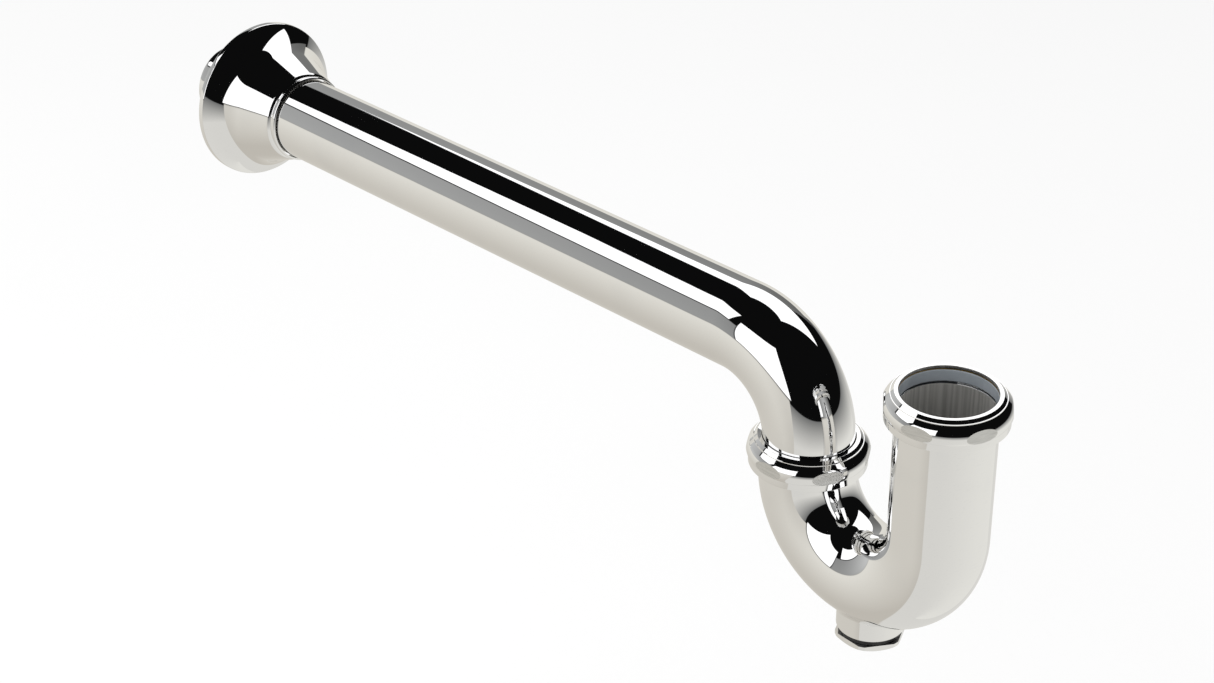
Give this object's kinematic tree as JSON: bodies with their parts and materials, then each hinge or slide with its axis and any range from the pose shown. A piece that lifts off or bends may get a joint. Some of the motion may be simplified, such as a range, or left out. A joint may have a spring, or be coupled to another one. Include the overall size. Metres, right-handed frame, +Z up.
{
  "type": "p trap",
  "caption": "Chromed tubular P trap: long wall bend with bell escutcheon, U bend with slip nuts at both ends and a cleanout plug below.",
  "frame": {"origin": "centre of the wall bend's end face at the wall", "axes": "+X from the wall towards the trap, +Z up, the whole run lies in the XZ plane; the arm rises 1.55 degrees from the wall"},
  "size_m": [0.406, 0.063, 0.1201],
  "materials": {
    "chrome_plate": "polished chrome plate on brass",
    "raw_brass": "machined brass",
    "washer_rubber": "smooth grey rubber",
    "gasket_rubber": "matt black rubber"
  },
  "bodies": {
    "wall_bend": {"wall_bend_tube": "chrome_plate"},
    "escutcheon_bell": {"escutcheon": "chrome_plate"},
    "outlet_ring": {"outlet_friction_ring": "raw_brass"},
    "outlet_nut": {"outlet_slip_nut": "chrome_plate"},
    "outlet_washer": {"outlet_slip_washer": "washer_rubber"},
    "trap": {"j_bend": "chrome_plate", "outlet_ferrule": "chrome_plate", "inlet_ferrule": "chrome_plate", "cleanout_boss": "chrome_plate", "inlet_slip_washer": "washer_rubber"},
    "inlet_ring": {"inlet_friction_ring": "raw_brass"},
    "inlet_nut": {"inlet_slip_nut": "chrome_plate"},
    "gasket": {"cleanout_gasket": "gasket_rubber"},
    "plug": {"cleanout_plug": "chrome_plate"}
  },
  "joints": [
    {"name": "escutcheon_slide", "type": "slide", "parent": "wall_bend", "child": "escutcheon_bell", "axis": [0.9996, 0, 0.027], "range_m": [-0.02, 0.235]},
    {"name": "trap_height", "type": "slide", "parent": "wall_bend", "child": "outlet_ring", "axis": [0, 0, 1], "range_m": [-0.003, 0]},
    {"name": "outlet_nut_turn", "type": "hinge", "parent": "outlet_ring", "child": "outlet_nut", "pos_m": [0.32587, 0, -0.02134], "axis": [0, 0, 1], "range_deg": [0, 1080]},
    {"name": "outlet_unscrew", "type": "slide", "parent": "outlet_ring", "child": "outlet_washer", "axis": [0, 0, -1], "range_m": [0, 0.00663]},
    {"name": "trap_swivel", "type": "hinge", "parent": "outlet_washer", "child": "trap", "pos_m": [0.32587, 0, -0.03358], "axis": [0, 0, 1], "range_deg": [-135, 135]},
    {"name": "inlet_nut_turn", "type": "hinge", "parent": "inlet_ring", "child": "inlet_nut", "pos_m": [0.38433, 0, 0.02138], "axis": [0, 0, 1], "range_deg": [0, 1080]},
    {"name": "inlet_nut_lift", "type": "slide", "parent": "trap", "child": "inlet_ring", "axis": [0, 0, 1], "range_m": [0, 0.00663]},
    {"name": "cleanout_turn", "type": "hinge", "parent": "gasket", "child": "plug", "pos_m": [0.35781, 0, -0.08282], "axis": [0, 0, -1], "range_deg": [0, 1080]},
    {"name": "cleanout_drop", "type": "slide", "parent": "trap", "child": "gasket", "axis": [0, 0, -1], "range_m": [0, 0.00423]}
  ],
  "couplings": [
    {"joint": "outlet_unscrew", "follows": "outlet_nut_turn", "m_per_rad": 0.00035153},
    {"joint": "inlet_nut_lift", "follows": "inlet_nut_turn", "m_per_rad": 0.00035153},
    {"joint": "cleanout_drop", "follows": "cleanout_turn", "m_per_rad": 0.00022457}
  ]
}
